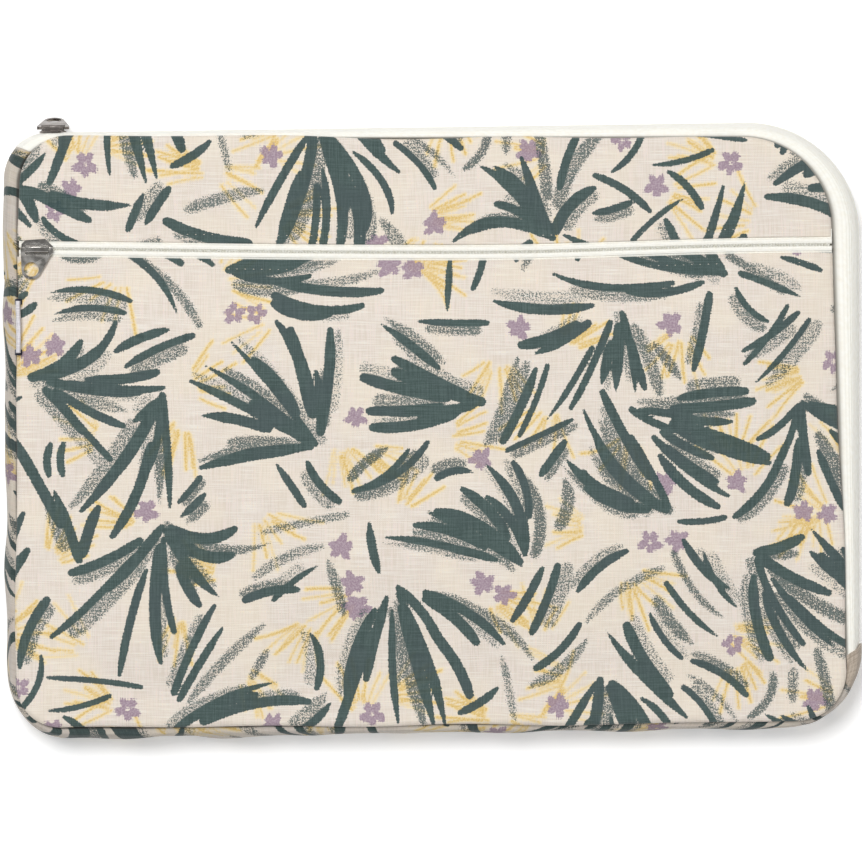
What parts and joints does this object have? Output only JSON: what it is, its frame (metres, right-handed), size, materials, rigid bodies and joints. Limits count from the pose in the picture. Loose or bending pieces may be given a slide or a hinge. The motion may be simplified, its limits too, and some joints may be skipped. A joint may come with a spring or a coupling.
{
  "type": "laptop sleeve",
  "caption": "Padded rectangular laptop sleeve in printed cloth, with a zip round the top and side edge and a zipped flat pocket across its front.",
  "frame": {"origin": "centre of the flat back face, on the plane that the sleeve lies on", "axes": "+X along the long side, towards the end where the main zip goes round the corner; +Y towards the long zipped edge; +Z out of the front, the side with the zipped pocket"},
  "size_m": [0.3528, 0.2563, 0.0311],
  "materials": {
    "printed_cloth": "matt cream cotton-linen cloth printed with dark green brush strokes, yellow rays and mauve blossoms",
    "lining_cloth": "plain matt cotton lining",
    "foam": "closed-cell foam padding",
    "binding_tape": "plain bias tape",
    "zip_tape": "ivory ribbed woven zip tape",
    "zip_coil": "ivory nylon coil",
    "end_tab_cloth": "plain tan cloth",
    "label": "blank white woven label",
    "bright_nickel": "bright nickel plate",
    "dark_nickel": "dark nickel plate",
    "spring_steel": "plain spring steel"
  },
  "bodies": {
    "root": {"back_outer_panel": "printed_cloth", "back_foam_pad": "foam", "back_lining": "lining_cloth", "back_seam_binding": "binding_tape", "gusset_outer": "printed_cloth", "gusset_lining": "lining_cloth", "main_zip_back_tape": "zip_tape", "main_zip_back_coil": "zip_coil", "zip_end_tab": "end_tab_cloth", "label_tab": "label", "front_lining_fixed": "lining_cloth", "front_foam_pad_fixed": "foam", "pocket_backing_fixed": "lining_cloth", "front_seam_binding_fixed": "binding_tape", "pocket_panel_fixed": "printed_cloth"},
    "cover": {"front_lining_free": "lining_cloth", "front_foam_pad_free": "foam", "pocket_backing_free": "lining_cloth", "front_seam_binding_free": "binding_tape", "pocket_panel_free": "printed_cloth", "front_top_strip": "printed_cloth", "pocket_zip_upper_tape": "zip_tape", "pocket_zip_lower_tape": "zip_tape", "pocket_zip_upper_coil": "zip_coil", "pocket_zip_lower_coil": "zip_coil", "main_zip_front_tape": "zip_tape", "main_zip_front_coil": "zip_coil"},
    "main_slider": {"main_slider_body": "dark_nickel", "main_slider_crown": "dark_nickel", "main_slider_lock_spring": "spring_steel"},
    "main_pull": {"main_slider_pull": "dark_nickel"},
    "pocket_slider": {"pocket_slider_body": "bright_nickel", "pocket_slider_crown": "bright_nickel", "pocket_slider_lock_spring": "spring_steel"},
    "pocket_pull": {"pocket_slider_pull": "bright_nickel"}
  },
  "joints": [
    {"name": "cover_lift", "type": "hinge", "parent": "root", "child": "cover", "pos_m": [-0.17, 0.062, 0.0263], "axis": [0.9139, -0.4059, 0], "range_deg": [0, 12], "deforming": ["main_zip_front_tape", "main_zip_front_coil"]},
    {"name": "main_zip_run", "type": "slide", "parent": "root", "child": "main_slider", "axis": [0.9999, 0.0125, 0], "range_m": [0, 0.27]},
    {"name": "main_pull_swing", "type": "hinge", "parent": "main_slider", "child": "main_pull", "pos_m": [-0.15603, 0.12604, 0.013], "axis": [0.9999, 0.0125, 0], "range_deg": [0, 140]},
    {"name": "pocket_zip_run", "type": "slide", "parent": "cover", "child": "pocket_slider", "axis": [1, 0, 0], "range_m": [0, 0.315]},
    {"name": "pocket_pull_swing", "type": "hinge", "parent": "pocket_slider", "child": "pocket_pull", "pos_m": [-0.1618, 0.0754, 0.0284], "axis": [-1, 0, 0], "range_deg": [0, 175]}
  ],
  "couplings": [
    {"joint": "main_zip_run", "follows": "cover_lift", "m_per_rad": 1.289}
  ]
}
